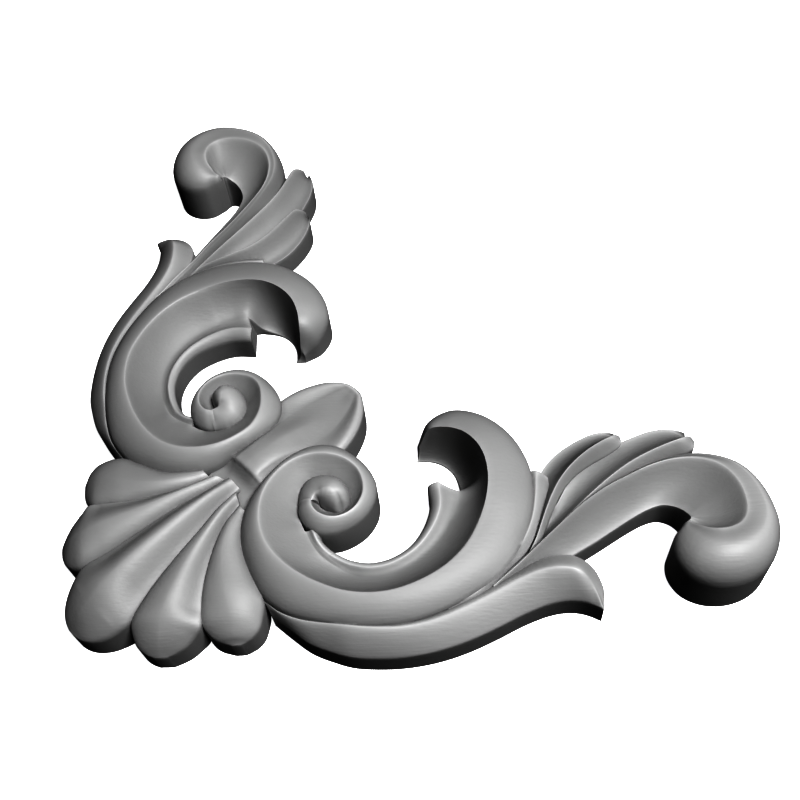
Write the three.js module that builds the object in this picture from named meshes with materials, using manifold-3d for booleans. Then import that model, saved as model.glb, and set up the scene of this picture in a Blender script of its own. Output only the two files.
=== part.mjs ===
import * as THREE from 'three';
import { mergeVertices } from 'three/addons/utils/BufferGeometryUtils.js';
import Module from 'manifold-3d';

// Carved corner applique: a shell on the corner, two mirrored C-scrolls with leaves, and a centre leaf.
// The back is the flat plane z = 0, the carving faces +Z, and the mirror plane is x = y.
// Stations are drawn in sketch millimetres and scaled so that one arm is ARM_LENGTH long overall.
const ARM_LENGTH = 200;
const SKETCH_LENGTH = 205.4;
const SCALE = ARM_LENGTH / SKETCH_LENGTH;

const WOOD_GREY = 0x8f8f8f;
const WOOD_ROUGHNESS = 0.45;

// How far a run's tucked end reaches (in stations), drops (mm) and narrows (share).
const TUCK_LENGTH = 0.3;
const TUCK_DROP = 0.3;
const TUCK_SHARE = 0.02;

// Samples along each carved run and across each of its strips.
const STEPS = {
  knob: 10,
  volute: 16,
  whorl: 18,
  bow: 20,
  hook: 12,
  lip: 22,
  frond: 10,
  finger: 11,
  stem: 27,
  lobe: 12,
  blade: 15,
};

// A strip between two rails. curve > 1 swells like a quarter round that falls to its low side,
// curve < -1 is its opposite, a cove. hollow > 0 scoops the strip by that many millimetres,
// ogee > 0 turns its foot outwards, lip > 0 turns the foot up into a thin margin.
// cuts is the number of samples across, and a setting may be a list of [station, number] pairs.
const strip = (settings) => ({ curve: 1, hollow: 0, ogee: 0, lip: 0, cuts: 2, ...settings });
const ROLL = strip({ curve: 1.7, cuts: 3 });
const COVE = strip({
  curve: [[0, -1.4], [14, -1.1], [27, -1.1], [29, -1.6], [31, -1.9], [35, -1.9]],
  hollow: [[0, 0], [18, 0], [20, 0.9], [27, 0.9], [29, 0.3], [31, 0]],
  cuts: 3,
});
const BEAD_GROOVE = strip({ hollow: 0.6 });
const BEAD = strip({ curve: 1.8 });
const KNOB_SIDE = strip({ curve: [[0, 2.1], [5, 2.1], [7, 1.7]], cuts: 3 });
const LEAF_BACK = strip({ curve: 1.1, hollow: -0.3 });
const LEAF_FACE = strip({ curve: 1.25 });
const GOUGE = strip({ hollow: 2.4, cuts: 3 });
const CHEEK = strip({ curve: 1.2 });
const DISH = strip({ hollow: 1.7, cuts: 3 });
const BALL = strip({ curve: [[0, 1.0], [7, 1.1], [11, 1.9], [22, 1.9]], cuts: 3 });
const CROWN = strip({ ogee: 1 });
const LOBE_NEAR = strip({ curve: 1.8, cuts: 3 });
const LOBE_FAR = strip({
  curve: [[0, 1.5], [5, 1.5], [7, 1.8]],
  ogee: [[0, 0.25], [5, 0.25], [7, 0]],
  lip: [[0, 0.45], [5, 0.45], [7, 0]],
  cuts: 3,
});
const RIM = strip({ curve: 1.8 });
const BLADE_HOLLOW = strip({ ogee: [[0, 0], [6, 0], [9, 1]] });
const BLADE_BACK = strip({ curve: 1.7, ogee: [[0, 0], [6, 0], [9, 1]] });

// Stations of the C-scroll, from the eye of the volute outwards to the hook.
// Each station gives x, y, z of the outer edge, of the ridge and of the inner edge of the cove.
const SCROLL = [
  [19.8, -7.2, 12.8, 24.1, -7.9, 18.0, 25.8, -7.0, 13.0],
  [20.0, -10.4, 12.8, 24.6, -10.0, 18.0, 26.4, -7.8, 12.4],
  [22.2, -14.0, 12.5, 26.3, -11.9, 17.7, 27.5, -8.5, 12.0],
  [25.6, -16.2, 12.2, 29.2, -13.1, 17.4, 29.1, -9.0, 12.0],
  [30.2, -16.6, 12.0, 32.2, -12.9, 17.1, 31.0, -9.2, 12.0],
  [35.0, -14.9, 12.0, 35.2, -11.3, 16.8, 32.6, -8.7, 12.0],
  [39.4, -11.4, 12.0, 37.4, -8.7, 16.6, 33.5, -7.4, 12.0],
  [42.2, -6.2, 12.0, 38.7, -5.0, 16.4, 33.6, -5.5, 12.0],
  [42.4, -0.6, 12.0, 38.5, -1.4, 16.5, 32.8, -3.4, 12.0],
  [40.0, 4.4, 12.2, 36.9, 2.4, 16.9, 31.2, -1.8, 12.0],
  [35.4, 9.0, 12.5, 33.6, 5.2, 17.8, 28.8, -0.8, 12.2],
  [29.2, 12.1, 13.0, 29.0, 6.6, 18.7, 25.8, -0.8, 12.5],
  [22.2, 11.6, 13.3, 23.4, 6.7, 18.9, 23.0, -2.0, 12.7],
  [15.6, 7.6, 13.5, 17.6, 4.4, 19.1, 21.2, -4.4, 13.0],
  [9.6, 0.6, 13.5, 13.2, -0.4, 19.7, 20.4, -7.6, 12.4],
  [5.4, -6.4, 13.3, 10.5, -6.2, 20.0, 20.4, -10.8, 12.0],
  [3.4, -14.2, 12.8, 9.8, -12.4, 20.0, 21.0, -13.0, 12.2],
  [4.0, -21.2, 12.3, 10.6, -17.6, 19.9, 22.2, -15.6, 12.6],
  [6.4, -27.6, 12.0, 12.8, -22.4, 19.7, 23.9, -19.1, 12.4],
  [10.6, -34.2, 12.0, 16.2, -26.5, 19.4, 26.4, -22.6, 12.1],
  [17.0, -39.8, 12.3, 21.4, -30.7, 19.2, 30.2, -25.2, 10.4],
  [25.4, -43.0, 13.0, 28.0, -34.3, 19.2, 35.0, -27.4, 8.8],
  [35.6, -44.8, 13.5, 36.2, -37.0, 19.3, 40.4, -28.7, 8.9],
  [46.5, -45.0, 13.5, 45.9, -37.2, 19.3, 46.0, -28.4, 9.3],
  [57.0, -42.6, 13.5, 54.6, -34.5, 19.2, 51.6, -26.2, 9.5],
  [67.0, -38.0, 13.5, 62.4, -29.8, 19.1, 56.6, -22.6, 9.6],
  [76.4, -31.6, 13.3, 68.2, -23.7, 19.2, 60.8, -17.9, 9.6],
  [83.4, -23.0, 13.0, 72.0, -16.4, 19.3, 63.8, -12.6, 9.8],
  [87.4, -12.6, 13.0, 74.3, -8.8, 19.8, 65.8, -7.2, 9.8],
  [88.2, -2.0, 13.0, 74.9, -2.0, 20.0, 66.7, -2.4, 9.6],
  [86.4, 7.0, 13.0, 73.9, 4.4, 20.0, 67.1, 1.6, 3.0],
  [81.2, 16.2, 12.6, 71.4, 9.4, 19.5, 65.4, 8.2, 0.6],
  [73.4, 22.8, 11.8, 67.6, 13.4, 18.3, 62.4, 11.6, 0.6],
  [64.6, 25.2, 10.0, 63.0, 15.5, 17.0, 59.0, 13.2, 0.6],
  [57.6, 22.2, 7.0, 58.6, 16.2, 15.0, 56.0, 13.6, 0.5],
  [54.2, 16.8, 3.5, 54.9, 15.6, 6.0, 54.0, 13.5, 0.5],
];
// The knob in the eye of the volute, the ribbon's inner end: outer edge, crest and edge of the pit.
const KNOB = [
  [33.4, -9.2, 12.0, 33.0, -9.4, 12.4, 32.4, -9.9, 12.0],
  [34.7, -7.2, 12.0, 32.5, -7.8, 16.8, 30.8, -10.0, 12.0],
  [34.9, -4.4, 12.0, 31.6, -6.3, 18.9, 29.6, -9.6, 12.0],
  [32.6, -0.4, 12.2, 29.8, -5.3, 19.7, 28.4, -9.0, 12.2],
  [27.6, 1.7, 12.2, 28.0, -5.1, 19.5, 27.4, -8.4, 12.4],
  [22.4, 0.6, 12.2, 26.4, -5.4, 18.8, 26.5, -7.7, 12.8],
  [19.9, -2.8, 12.2, 25.0, -6.4, 18.2, 26.1, -7.2, 13.2],
  [19.6, -7.9, 12.5, 24.2, -8.5, 17.9, 26.0, -7.3, 12.8],
];
const VOLUTE_RANGE = [0, 7];
const WHORL_RANGE = [7, 17];
const BOW_RANGE = [17, 29];
const HOOK_RANGE = [29, 35];

// The beaded step inside the bow of the scroll: crest of the bead and top of its wall, per station.
const STEP = [
  [24.0, -15.2, 13.2, 26.0, -14.0, 9.0],
  [25.6, -18.6, 12.6, 27.0, -17.6, 9.0],
  [27.9, -21.2, 11.5, 29.0, -19.8, 8.9],
  [31.2, -23.4, 10.5, 32.2, -21.9, 8.7],
  [35.6, -25.3, 10.1, 36.2, -23.5, 8.4],
  [40.6, -26.2, 10.2, 40.6, -24.2, 8.5],
  [45.7, -25.6, 10.5, 45.2, -23.5, 8.5],
  [50.3, -23.6, 10.9, 49.2, -21.7, 8.5],
  [54.4, -20.5, 11.1, 52.6, -18.9, 8.3],
  [57.7, -16.3, 11.3, 55.0, -15.4, 8.1],
  [60.0, -11.8, 11.5, 56.8, -11.4, 8.0],
  [61.2, -7.0, 11.7, 57.8, -7.0, 8.2],
  [60.7, -0.2, 11.9, 57.3, -0.6, 8.8],
];

// Outer leaf: hidden inner edge, ridge and top of the outer wall, from the shell to the turned-up lip.
const OUTER_LEAF = [
  [11.0, -33.5, 9.5, 11.6, -36.0, 10.5, 13.2, -38.8, 7.6],
  [16.5, -38.5, 10.0, 16.4, -39.8, 12.0, 18.6, -43.2, 8.0],
  [22.5, -41.0, 10.5, 22.4, -42.4, 13.0, 24.4, -47.4, 8.2],
  [29.0, -42.0, 11.0, 28.8, -43.8, 14.0, 30.6, -50.0, 8.4],
  [35.0, -43.0, 11.0, 35.0, -44.9, 15.0, 36.0, -51.6, 8.5],
  [41.6, -43.5, 11.0, 41.8, -45.6, 15.0, 42.6, -52.2, 8.5],
  [49.6, -43.0, 11.0, 49.8, -45.5, 14.5, 50.8, -52.0, 8.7],
  [57.4, -41.0, 11.0, 57.8, -43.9, 14.1, 59.4, -50.6, 9.0],
  [65.6, -37.4, 11.0, 66.2, -40.6, 14.0, 68.0, -47.9, 9.1],
  [73.6, -33.4, 11.0, 74.8, -36.4, 14.0, 76.3, -44.2, 9.0],
  [80.2, -29.8, 11.0, 82.3, -32.6, 14.5, 83.6, -40.6, 8.9],
  [86.6, -26.4, 11.0, 88.4, -30.5, 15.3, 90.6, -38.0, 9.0],
  [92.8, -24.6, 11.2, 94.0, -30.1, 15.9, 95.6, -37.2, 8.9],
  [98.6, -25.0, 11.0, 98.4, -31.0, 15.5, 99.4, -37.5, 8.7],
  [102.8, -28.2, 10.5, 101.6, -33.2, 12.9, 102.4, -38.5, 8.5],
  [105.2, -33.6, 9.4, 103.4, -36.4, 10.7, 104.2, -39.4, 8.2],
  [105.2, -38.4, 8.2, 104.8, -38.9, 8.3, 104.8, -39.7, 8.0],
];

// Narrow frond behind the hook: inner edge under the roll, ridge and outer edge.
const FROND = [
  [60.0, -36.0, 10.0, 62.0, -39.9, 13.4, 64.5, -41.6, 10.5],
  [67.0, -32.5, 10.0, 70.0, -36.2, 13.8, 72.5, -36.8, 11.0],
  [72.5, -28.0, 10.0, 76.0, -31.3, 14.0, 79.6, -29.6, 11.5],
  [77.5, -22.0, 10.0, 81.2, -25.2, 14.1, 84.4, -24.2, 11.7],
  [81.5, -15.5, 10.0, 84.8, -19.4, 14.2, 88.2, -17.8, 11.6],
  [84.0, -9.0, 10.0, 87.4, -12.6, 14.0, 91.2, -10.4, 11.2],
  [85.2, -3.0, 10.0, 88.6, -6.0, 13.9, 93.0, -3.4, 10.4],
  [85.6, 2.4, 10.0, 89.4, 1.6, 13.4, 93.0, 0.8, 10.0],
];

// Finger leaves: edge towards the stem, ridge and outer edge.
const SHORT_FINGER = [
  [84.5, -27.5, 9.0, 83.6, -26.5, 10.5, 82.4, -24.5, 9.0],
  [88.6, -21.5, 11.0, 87.4, -20.5, 13.5, 86.5, -18.0, 10.0],
  [91.0, -15.8, 11.5, 90.0, -14.2, 14.6, 87.8, -10.0, 9.0],
  [93.6, -10.0, 11.5, 92.2, -8.9, 15.0, 89.0, -2.0, 8.8],
  [97.0, -3.6, 11.0, 95.2, -3.1, 15.1, 91.5, 4.2, 8.8],
  [101.2, 1.4, 10.6, 99.0, 1.8, 15.5, 95.6, 9.2, 8.8],
  [106.2, 5.2, 10.2, 103.6, 6.0, 15.9, 100.8, 13.0, 9.0],
  [111.0, 8.0, 9.8, 108.2, 9.2, 15.8, 106.4, 15.6, 9.6],
  [114.4, 10.4, 9.8, 111.9, 11.6, 14.9, 110.4, 16.3, 10.0],
  [115.7, 12.0, 9.9, 113.6, 13.4, 12.9, 112.5, 16.0, 10.0],
  [115.8, 13.7, 9.9, 114.9, 14.6, 10.5, 113.9, 15.4, 10.0],
];
const LONG_FINGER = [
  [81.5, -29.5, 9.0, 81.0, -28.6, 10.5, 79.8, -25.0, 9.0],
  [86.4, -25.0, 10.0, 85.6, -23.8, 12.0, 84.5, -19.5, 10.0],
  [93.2, -18.6, 11.0, 92.0, -18.2, 13.2, 91.0, -13.0, 10.5],
  [99.4, -13.2, 11.5, 98.0, -12.7, 14.2, 94.6, -8.0, 10.5],
  [105.6, -7.8, 12.0, 104.1, -7.2, 14.9, 98.0, -2.0, 10.0],
  [111.8, -3.0, 12.0, 110.3, -2.0, 15.4, 103.0, 3.6, 9.6],
  [118.2, 1.2, 12.0, 116.4, 2.4, 15.5, 109.5, 9.5, 9.6],
  [124.6, 4.2, 11.5, 122.5, 5.8, 15.6, 117.6, 13.6, 9.6],
  [130.6, 6.4, 11.0, 128.4, 8.3, 15.8, 125.0, 16.1, 10.0],
  [134.4, 7.6, 10.5, 132.4, 10.0, 15.4, 130.4, 16.4, 10.2],
  [136.6, 9.2, 10.5, 134.6, 11.7, 13.4, 133.2, 15.6, 10.3],
  [137.2, 11.3, 10.5, 136.1, 12.9, 11.0, 134.8, 14.6, 10.4],
];

// Stem and its curled ball: outer edge, ridge, and inner edge that ends at the crook.
const STEM = [
  [76.6, -31.4, 10.5, 75.2, -33.2, 12.6, 75.0, -34.2, 13.2, 76.0, -38.0, 9.0],
  [84.0, -25.0, 11.0, 82.4, -27.2, 13.8, 82.2, -28.4, 14.6, 84.0, -33.0, 9.0],
  [90.4, -19.4, 11.2, 89.0, -21.6, 14.8, 88.6, -22.6, 15.7, 90.5, -28.5, 9.0],
  [97.0, -13.6, 11.8, 95.4, -16.2, 16.2, 95.0, -17.2, 17.3, 98.2, -23.7, 9.0],
  [104.0, -7.9, 12.0, 102.0, -10.8, 17.0, 101.6, -11.7, 18.2, 105.0, -19.7, 9.0],
  [110.4, -3.5, 12.0, 108.4, -6.4, 17.3, 108.1, -7.3, 18.5, 111.0, -15.9, 9.2],
  [117.0, 0.4, 12.0, 114.8, -2.9, 17.2, 114.5, -3.8, 18.3, 116.2, -12.7, 9.4],
  [123.8, 3.4, 11.5, 121.3, 0.3, 17.2, 121.0, -0.7, 18.2, 120.6, -10.5, 9.8],
  [130.6, 5.2, 11.0, 127.8, 2.4, 17.2, 127.4, 1.0, 18.5, 124.4, -9.6, 10.4],
  [137.2, 5.2, 11.0, 134.2, 2.8, 17.8, 133.2, 1.0, 19.1, 127.6, -10.6, 11.3],
  [143.2, 2.8, 12.0, 140.0, 1.2, 18.8, 138.2, -0.7, 19.8, 129.6, -12.4, 12.4],
  [148.2, -1.4, 12.6, 144.4, -2.0, 20.2, 141.6, -3.7, 20.4, 130.4, -13.8, 13.2],
  [151.8, -7.0, 13.0, 147.4, -6.4, 20.9, 143.8, -7.7, 20.9, 130.7, -14.6, 13.8],
  [153.9, -13.6, 13.0, 149.2, -11.8, 21.3, 144.8, -12.0, 21.1, 130.8, -15.1, 14.2],
  [154.4, -20.4, 13.0, 149.6, -17.6, 21.6, 144.8, -15.8, 21.2, 130.8, -15.4, 14.5],
  [152.0, -27.6, 13.0, 147.6, -22.6, 21.9, 143.9, -18.8, 21.2, 130.75, -15.6, 14.7],
  [147.2, -33.0, 13.0, 143.9, -26.0, 22.3, 142.0, -21.0, 21.3, 130.7, -15.8, 14.9],
  [140.6, -35.9, 13.0, 139.6, -27.6, 22.5, 139.4, -22.2, 21.4, 130.65, -16.0, 15.0],
  [133.4, -35.9, 13.2, 135.3, -27.4, 22.2, 136.6, -22.5, 21.3, 130.6, -16.2, 15.1],
  [127.6, -33.0, 13.5, 131.8, -25.8, 21.3, 134.0, -21.9, 20.5, 130.5, -16.4, 15.2],
  [124.7, -28.0, 13.8, 129.6, -23.2, 19.9, 132.0, -20.5, 19.2, 130.4, -16.5, 15.3],
  [124.9, -22.8, 14.0, 128.6, -20.4, 18.2, 130.6, -19.2, 17.8, 130.3, -16.6, 15.3],
  [128.2, -18.2, 14.0, 129.4, -17.9, 16.7, 130.0, -17.6, 16.6, 130.2, -16.7, 15.3],
];

// Shell lobes beside the middle one: left valley, crest and right valley.
const SIDE_LOBE = [
  [1.2, -2.6, 13.4, 1.8, -5.0, 16.0, 2.6, -7.2, 14.2],
  [-3.3, -7.8, 13.6, -1.9, -10.9, 17.5, -0.5, -13.2, 14.8],
  [-8.2, -15.3, 13.8, -5.4, -17.4, 18.1, -2.9, -20.4, 15.0],
  [-13.2, -22.3, 13.8, -8.9, -24.4, 18.4, -4.5, -27.8, 14.8],
  [-18.2, -29.3, 13.0, -12.0, -32.0, 18.4, -5.1, -35.1, 14.3],
  [-21.8, -34.8, 12.2, -14.0, -37.6, 17.8, -5.0, -39.5, 13.5],
  [-24.9, -41.2, 11.0, -15.4, -42.1, 16.4, -5.0, -43.1, 12.5],
  [-24.4, -45.0, 9.5, -15.8, -45.7, 14.1, -6.8, -45.5, 9.8],
  [-22.8, -47.8, 8.4, -16.2, -48.1, 11.6, -9.4, -47.9, 8.4],
  [-20.5, -49.5, 7.9, -16.4, -49.6, 9.5, -12.2, -49.4, 7.9],
  [-18.4, -50.3, 7.7, -16.5, -50.4, 8.2, -14.6, -50.3, 7.7],
];
const END_LOBE = [
  [2.4, -7.1, 12.8, 3.6, -9.0, 15.3, 5.4, -10.0, 13.0],
  [-1.0, -13.0, 13.8, 1.2, -15.0, 16.9, 5.0, -16.0, 12.5],
  [-3.4, -20.3, 14.0, -0.1, -21.4, 17.4, 6.0, -22.6, 12.0],
  [-5.0, -27.8, 13.6, 0.3, -28.7, 17.2, 9.0, -29.8, 12.0],
  [-5.6, -35.1, 13.2, 1.8, -35.5, 16.6, 11.6, -35.5, 11.0],
  [-5.4, -41.8, 11.6, 3.3, -40.8, 15.0, 11.5, -40.3, 10.0],
  [-3.5, -44.6, 9.5, 3.9, -43.9, 13.0, 10.6, -43.5, 9.2],
  [-1.5, -46.1, 8.4, 4.1, -45.7, 11.2, 8.9, -45.5, 8.5],
  [0.9, -46.9, 8.0, 4.2, -46.7, 9.4, 7.1, -46.6, 8.0],
  [2.9, -47.4, 7.7, 4.2, -47.4, 8.2, 5.6, -47.3, 7.7],
];
// Right half of the middle lobe: crest on the mirror line (one number for x and y) and its valley.
const MIDDLE_LOBE = [
  [0.0, 16.4, 2.2, -1.9, 14.4],
  [-5.5, 18.6, -2.8, -8.1, 15.0],
  [-11.7, 19.9, -7.7, -15.6, 15.3],
  [-17.8, 20.4, -12.7, -22.6, 15.1],
  [-23.8, 20.3, -17.7, -29.6, 14.2],
  [-28.5, 19.7, -21.3, -35.1, 13.4],
  [-33.2, 18.3, -24.9, -41.4, 12.0],
  [-36.5, 16.2, -28.5, -43.9, 10.0],
  [-39.0, 13.8, -32.4, -45.4, 8.7],
  [-40.9, 11.2, -36.4, -45.7, 8.1],
  [-42.2, 9.0, -39.6, -44.9, 7.8],
  [-42.7, 8.1, -41.7, -43.7, 7.7],
];

// Centre leaf by distance along the mirror line: height of the crest,
// then half width and height of the shoulder, of the rim and of the edge.
const CENTRE_LEAF = [
  [-5.0, 12.0, 3.0, 11.9, 6.0, 11.8, 8.5, 11.6],
  [0.0, 12.8, 3.6, 12.7, 6.8, 12.5, 9.5, 12.2],
  [2.6, 13.8, 4.0, 13.6, 6.8, 13.0, 9.5, 12.4],
  [4.6, 16.0, 4.4, 15.5, 6.8, 14.2, 9.2, 12.8],
  [5.8, 17.7, 4.6, 16.9, 7.0, 15.0, 9.2, 13.0],
  [9.0, 18.3, 4.8, 17.0, 7.4, 14.6, 9.8, 12.6],
  [14.0, 18.0, 5.0, 16.4, 8.2, 13.4, 11.0, 11.4],
  [20.0, 16.6, 5.8, 14.4, 9.8, 12.4, 12.4, 10.8],
  [25.0, 14.6, 6.6, 12.6, 11.3, 12.0, 13.6, 10.5],
  [30.0, 12.6, 6.8, 11.5, 11.8, 12.1, 14.1, 10.4],
  [35.0, 11.3, 6.2, 11.0, 11.0, 12.2, 13.4, 10.4],
  [40.0, 10.9, 5.0, 10.9, 9.2, 12.2, 11.6, 10.4],
  [44.4, 11.0, 3.6, 11.2, 6.6, 12.2, 9.0, 10.4],
  [47.2, 11.5, 2.2, 11.6, 4.2, 12.0, 6.2, 10.4],
  [49.0, 11.7, 1.2, 11.7, 2.2, 11.5, 3.6, 10.3],
  [49.8, 10.4, 0.7, 10.4, 1.3, 10.3, 2.0, 10.1],
];

const group = new THREE.Group();
const wasm = await Module();
wasm.setup();

// Turns rows of x, y, z triples into one point list per rail.
function railsOf(rows) {
  const count = rows[0].length / 3;
  const rails = [];
  for (let k = 0; k < count; k++) {
    rails.push(rows.map((row) => new THREE.Vector3(row[3 * k], row[3 * k + 1], row[3 * k + 2])));
  }
  return rails;
}

// Point lists become smooth curves that pass through every station.
function curvesOf(rails) {
  return rails.map((points) => new THREE.CatmullRomCurve3(points, false, 'centripetal'));
}

// A strip's setting at a station: a plain number, or read between [station, number] pairs.
function settingAt(setting, station) {
  if (!Array.isArray(setting)) {
    return setting;
  }
  const next = setting.findIndex(([at]) => at >= station);
  if (next < 1) {
    return setting[next === 0 ? 0 : setting.length - 1][1];
  }
  const [from, before] = setting[next - 1];
  const [to, after] = setting[next];
  return before + (after - before) * (station - from) / (to - from);
}

// Height across a strip: s runs from the first rail to the second.
function stripHeight(strip, station, za, zb, s) {
  const high = Math.max(za, zb);
  const low = Math.min(za, zb);
  const fromLow = za < zb ? s : 1 - s;
  const curve = settingAt(strip.curve, station);
  const ogee = settingAt(strip.ogee, station);
  const round = curve < 0
    ? 1 - Math.pow(1 - Math.pow(fromLow, -curve), -1 / curve)
    : Math.pow(1 - Math.pow(1 - fromLow, curve), 1 / curve);
  const turned = fromLow * fromLow * (3 - 2 * fromLow);
  const upturn = 4 * fromLow * Math.pow(1 - fromLow, 3) * settingAt(strip.lip, station);
  const rise = round + (turned - round) * ogee - upturn;
  return low + (high - low) * rise - settingAt(strip.hollow, station) * 4 * s * (1 - s);
}

// Spreads the samples so that they gather where a swelling strip turns steep.
function stripSample(strip, station, za, zb, k) {
  const s = k / strip.cuts;
  const curve = settingAt(strip.curve, station);
  if (curve < -1.2) {
    return za > zb ? 1 - Math.cos(s * Math.PI / 2) : Math.sin(s * Math.PI / 2);
  }
  if (curve < 1.4 || settingAt(strip.ogee, station) > 0) {
    return s;
  }
  const eased = 1 - Math.cos(s * Math.PI / 2);
  return za < zb ? eased : 1 - (1 - Math.cos((1 - s) * Math.PI / 2));
}

// One cross-section of a carved run: points from the first rail to the last.
function sectionOf(knots, strips, station) {
  const section = [];
  strips.forEach((strip, k) => {
    const a = knots[k];
    const b = knots[k + 1];
    for (let j = 0; j < strip.cuts; j++) {
      const s = stripSample(strip, station, a.z, b.z, j);
      const p = a.clone().lerp(b, s);
      p.z = stripHeight(strip, station, a.z, b.z, s);
      section.push(p);
    }
  });
  section.push(knots[knots.length - 1]);
  return section;
}

// Closed solid below the sections: carved top, upright sides, flat back and flat ends.
function solidFrom(sections) {
  const rows = sections.length;
  const width = sections[0].length;
  const position = [];
  sections.forEach((section) => {
    section.forEach((p) => position.push(p.x, p.y, p.z));
    const first = section[0];
    const last = section[width - 1];
    position.push(first.x, first.y, 0, last.x, last.y, 0);
  });
  const stride = width + 2;
  const faces = [];
  const quad = (a, b, c, d) => faces.push(a, b, c, a, c, d);
  for (let i = 0; i < rows - 1; i++) {
    const here = i * stride;
    const next = here + stride;
    for (let j = 0; j < width - 1; j++) {
      quad(here + j, here + j + 1, next + j + 1, next + j);
    }
    quad(here + width, here, next, next + width);
    quad(here + width - 1, here + width + 1, next + width + 1, next + width - 1);
    quad(here + width + 1, here + width, next + width, next + width + 1);
  }
  for (const [start, flip] of [[0, false], [(rows - 1) * stride, true]]) {
    const fan = [];
    for (let j = 0; j < width - 1; j++) {
      fan.push([start + width, start + j + 1, start + j]);
    }
    fan.push([start + width, start + width + 1, start + width - 1]);
    fan.forEach(([a, b, c]) => (flip ? faces.push(a, c, b) : faces.push(a, b, c)));
  }
  return { position, faces };
}

// Signed volume, used to turn every solid's faces outwards.
function signedVolume(shape) {
  let total = 0;
  const corner = (k) => new THREE.Vector3().fromArray(shape.position, 3 * k);
  for (let i = 0; i < shape.faces.length; i += 3) {
    const [a, b, c] = shape.faces.slice(i, i + 3).map(corner);
    total += a.dot(b.cross(c)) / 6;
  }
  return total;
}

function toManifold(shape) {
  const flip = signedVolume(shape) < 0;
  const tris = [];
  for (let i = 0; i < shape.faces.length; i += 3) {
    const [a, b, c] = shape.faces.slice(i, i + 3);
    tris.push(a, flip ? c : b, flip ? b : c);
  }
  let geometry = new THREE.BufferGeometry();
  geometry.setAttribute('position', new THREE.Float32BufferAttribute(shape.position, 3));
  geometry.setIndex(tris);
  geometry = mergeVertices(geometry, 1e-5);
  return new wasm.Manifold(new wasm.Mesh({
    numProp: 3,
    vertProperties: new Float32Array(geometry.attributes.position.array),
    triVerts: new Uint32Array(geometry.index.array),
  }));
}

// Lowers a section and draws it in a little, so that a run's end hides under the next run.
function tucked(section) {
  const middle = section[0].clone().add(section[section.length - 1]).multiplyScalar(0.5);
  return section.map((p) => {
    const q = p.clone().lerp(middle, TUCK_SHARE);
    q.z = p.z - TUCK_DROP;
    return q;
  });
}

// A carved run between two stations, in equal steps, with its first or last end tucked if asked.
function run(rows, strips, steps, range, tuck) {
  const curves = curvesOf(railsOf(rows));
  const last = rows.length - 1;
  const [from, to] = range ?? [0, last];
  const sectionAt = (station) => {
    const knots = curves.map((curve) => curve.getPoint(station / last));
    return sectionOf(knots, strips, station);
  };
  const sections = [];
  if (tuck === 'first') {
    sections.push(tucked(sectionAt(from - TUCK_LENGTH)));
  }
  for (let i = 0; i <= steps; i++) {
    sections.push(sectionAt(from + (to - from) * i / steps));
  }
  if (tuck === 'last') {
    sections.push(tucked(sectionAt(to + TUCK_LENGTH)));
  }
  return sections;
}

// The bow of the scroll carries the beaded step as two more rails.
function bowSections() {
  const scroll = curvesOf(railsOf(SCROLL));
  const step = curvesOf(railsOf(STEP));
  const [from, to] = BOW_RANGE;
  const sections = [];
  for (let i = 0; i <= STEPS.bow; i++) {
    const part = i / STEPS.bow;
    const station = from + (to - from) * part;
    const knots = scroll.map((curve) => curve.getPoint(station / (SCROLL.length - 1)));
    knots.push(...step.map((curve) => curve.getPoint(part)));
    sections.push(sectionOf(knots, [ROLL, COVE, BEAD_GROOVE, BEAD], station));
  }
  return sections;
}

function middleLobeRows() {
  return MIDDLE_LOBE.map(([along, top, x, y, z]) => [y, x, z, along, along, top, x, y, z]);
}

function centreLeafRows() {
  return CENTRE_LEAF.map(([along, crest, ...sides]) => {
    const side = [[sides[4], sides[5]], [sides[2], sides[3]], [sides[0], sides[1]]];
    const across = [...side, [0, crest], ...side.map(([w, z]) => [-w, z]).reverse()];
    return across.flatMap(([w, z]) => [(along - w) * Math.SQRT1_2, (along + w) * Math.SQRT1_2, z]);
  });
}

// A point and its heights swapped over the mirror line x = y.
function mirrored(shape) {
  const position = [];
  for (let i = 0; i < shape.position.length; i += 3) {
    position.push(shape.position[i + 1], shape.position[i], shape.position[i + 2]);
  }
  return { position, faces: shape.faces };
}

const armRuns = [
  run(KNOB, [KNOB_SIDE, KNOB_SIDE], STEPS.knob),
  run(SCROLL, [ROLL, COVE], STEPS.volute, VOLUTE_RANGE, 'last'),
  run(SCROLL, [ROLL, COVE], STEPS.whorl, WHORL_RANGE, 'last'),
  bowSections(),
  run(SCROLL, [ROLL, COVE], STEPS.hook, HOOK_RANGE, 'first'),
  run(OUTER_LEAF, [LEAF_BACK, LEAF_FACE], STEPS.lip),
  run(FROND, [CHEEK, CHEEK], STEPS.frond),
  run(SHORT_FINGER, [CHEEK, GOUGE], STEPS.finger),
  run(LONG_FINGER, [CHEEK, GOUGE], STEPS.finger),
  run(STEM, [BALL, CROWN, DISH], STEPS.stem),
  run(SIDE_LOBE, [LOBE_NEAR, LOBE_FAR], STEPS.lobe),
  run(END_LOBE, [LOBE_NEAR, LOBE_NEAR], STEPS.lobe),
];
const centreRuns = [
  run(middleLobeRows(), [LOBE_FAR, LOBE_FAR], STEPS.lobe),
  run(centreLeafRows(), [RIM, BLADE_HOLLOW, BLADE_BACK, BLADE_BACK, BLADE_HOLLOW, RIM], STEPS.blade),
];

let carving = null;
const join = (shape) => {
  const solid = toManifold(shape);
  carving = carving ? carving.add(solid) : solid;
};
armRuns.forEach((sections) => {
  const shape = solidFrom(sections);
  join(shape);
  join(mirrored(shape));
});
centreRuns.forEach((sections) => join(solidFrom(sections)));

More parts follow.
